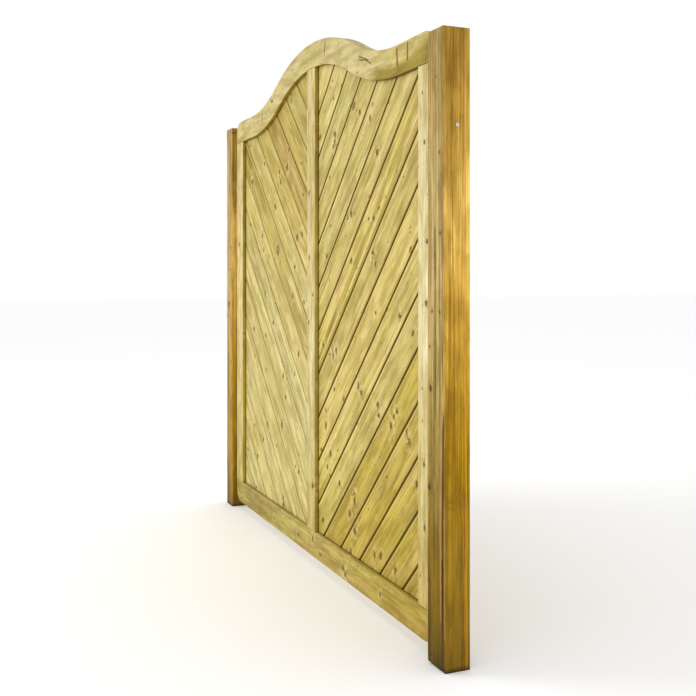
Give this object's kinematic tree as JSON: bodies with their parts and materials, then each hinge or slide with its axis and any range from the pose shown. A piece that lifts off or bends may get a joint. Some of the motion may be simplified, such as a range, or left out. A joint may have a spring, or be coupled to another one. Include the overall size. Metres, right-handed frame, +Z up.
{
  "type": "garden gate",
  "caption": "Framed timber garden gate with a wave top and chevron tongue-and-groove boards, hinged between two square posts, with a sliding bolt at the rear.",
  "frame": {"origin": "on the ground, midway between the two posts and midway through their depth", "axes": "+X to the hinge post as seen from the front, -Y out of the front face, +Z up"},
  "size_m": [1.968, 0.085, 1.822],
  "materials": {
    "board_wood": "pressure-treated softwood, planed",
    "frame_wood": "pressure-treated softwood, planed",
    "post_wood": "pressure-treated softwood, rough-sawn",
    "peg_wood": "turned hardwood dowel",
    "galvanised_steel": "zinc plated, dull",
    "bright_steel": "zinc plated, smooth",
    "screw_steel": "zinc plated"
  },
  "bodies": {
    "root": {"post_left": "post_wood", "post_right": "post_wood", "post_side_screw": "screw_steel", "keep_plate": "galvanised_steel", "keep_screws": "screw_steel", "hinge_screws_post": "screw_steel", "hinge_flap_post_lower": "galvanised_steel", "hinge_flap_post_middle": "galvanised_steel", "hinge_flap_post_upper": "galvanised_steel", "hinge_pin_lower": "bright_steel", "hinge_pin_middle": "bright_steel", "hinge_pin_upper": "bright_steel"},
    "leaf": {"board_left_01": "board_wood", "board_left_02": "board_wood", "board_left_03": "board_wood", "board_left_04": "board_wood", "board_left_05": "board_wood", "board_left_06": "board_wood", "board_left_07": "board_wood", "board_left_08": "board_wood", "board_left_09": "board_wood", "board_left_10": "board_wood", "board_left_11": "board_wood", "board_left_12": "board_wood", "board_left_13": "board_wood", "board_left_14": "board_wood", "board_left_15": "board_wood", "board_left_16": "board_wood", "board_right_01": "board_wood", "board_right_02": "board_wood", "board_right_03": "board_wood", "board_right_04": "board_wood", "board_right_05": "board_wood", "board_right_06": "board_wood", "board_right_07": "board_wood", "board_right_08": "board_wood", "board_right_09": "board_wood", "board_right_10": "board_wood", "board_right_11": "board_wood", "board_right_12": "board_wood", "board_right_13": "board_wood", "board_right_14": "board_wood", "board_right_15": "board_wood", "board_right_16": "board_wood", "bolt_body": "galvanised_steel", "bolt_screws": "screw_steel", "bottom_rail": "frame_wood", "frame_pegs": "peg_wood", "hinge_flap_leaf_lower": "galvanised_steel", "hinge_flap_leaf_middle": "galvanised_steel", "hinge_flap_leaf_upper": "galvanised_steel", "hinge_screws_leaf": "screw_steel", "mullion": "frame_wood", "stile_left": "frame_wood", "stile_right": "frame_wood", "top_rail": "frame_wood"},
    "bolt": {"bolt_rod": "bright_steel", "bolt_knob": "bright_steel"}
  },
  "joints": [
    {"name": "leaf_hinge", "type": "hinge", "parent": "root", "child": "leaf", "pos_m": [0.893, 0.0285, 0.85], "axis": [0, 0, -1], "range_deg": [0, 90]},
    {"name": "bolt_slide", "type": "slide", "parent": "leaf", "child": "bolt", "axis": [-1, 0, 0], "range_m": [0, 0.03]}
  ]
}
